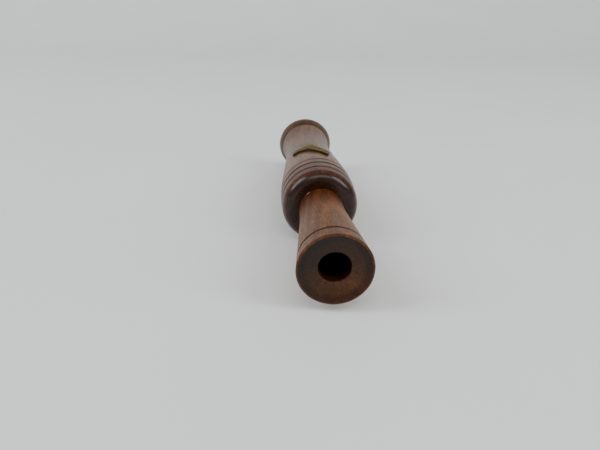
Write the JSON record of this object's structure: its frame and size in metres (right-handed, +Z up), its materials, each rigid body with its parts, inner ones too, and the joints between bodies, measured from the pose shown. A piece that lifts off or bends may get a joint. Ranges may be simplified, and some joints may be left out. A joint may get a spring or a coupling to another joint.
{
  "type": "duck call",
  "caption": "Turned wooden duck call: flared stopper with keyhole tone board, wedge and reed, pushed into a grooved barrel with a mouth lip and a small bird badge.",
  "frame": {"origin": "on the floor under the widest part's height line, midway along the call: the bottom centre of its box as it lies on its side", "axes": "+Y along the call's axis from the exhaust end to the mouthpiece, +Z up through the badge, +X to the right when looking from the exhaust end"},
  "size_m": [0.0314, 0.1504, 0.0318],
  "materials": {
    "barrel_walnut": "satin lacquer over walnut, glossier on the shoulder",
    "stopper_walnut": "satin lacquer over lighter walnut",
    "cork": "matt cork",
    "hard_rubber": "polished black hard rubber",
    "reed": "thin honey-coloured plastic",
    "brass": "dulled, darkened brass"
  },
  "bodies": {
    "barrel": {"barrel": "barrel_walnut", "badge": "brass", "badge_pins": "brass"},
    "tenon_cork": {"tenon_cork": "cork"},
    "stopper": {"stopper": "stopper_walnut", "tone_board": "hard_rubber"},
    "wedge": {"wedge": "cork", "reed_clamped_end": "reed"},
    "reed_tongue": {"reed_tongue": "reed"}
  },
  "joints": [
    {"name": "stopper_pull", "type": "slide", "parent": "barrel", "child": "tenon_cork", "axis": [0, -1, 0], "range_m": [0, 0.066]},
    {"name": "stopper_twist", "type": "hinge", "parent": "tenon_cork", "child": "stopper", "pos_m": [0, -0.0164, 0.0157], "axis": [0, 1, 0], "continuous": true},
    {"name": "wedge_slide", "type": "slide", "parent": "stopper", "child": "wedge", "axis": [0, 1, 0], "range_m": [0, 0.012]},
    {"name": "reed_flex", "type": "hinge", "parent": "wedge", "child": "reed_tongue", "pos_m": [0, 0.00441, 0.0165], "axis": [1, 0, 0], "range_deg": [-2.2, 1], "stiffness_Nm_per_rad": 0.011}
  ]
}
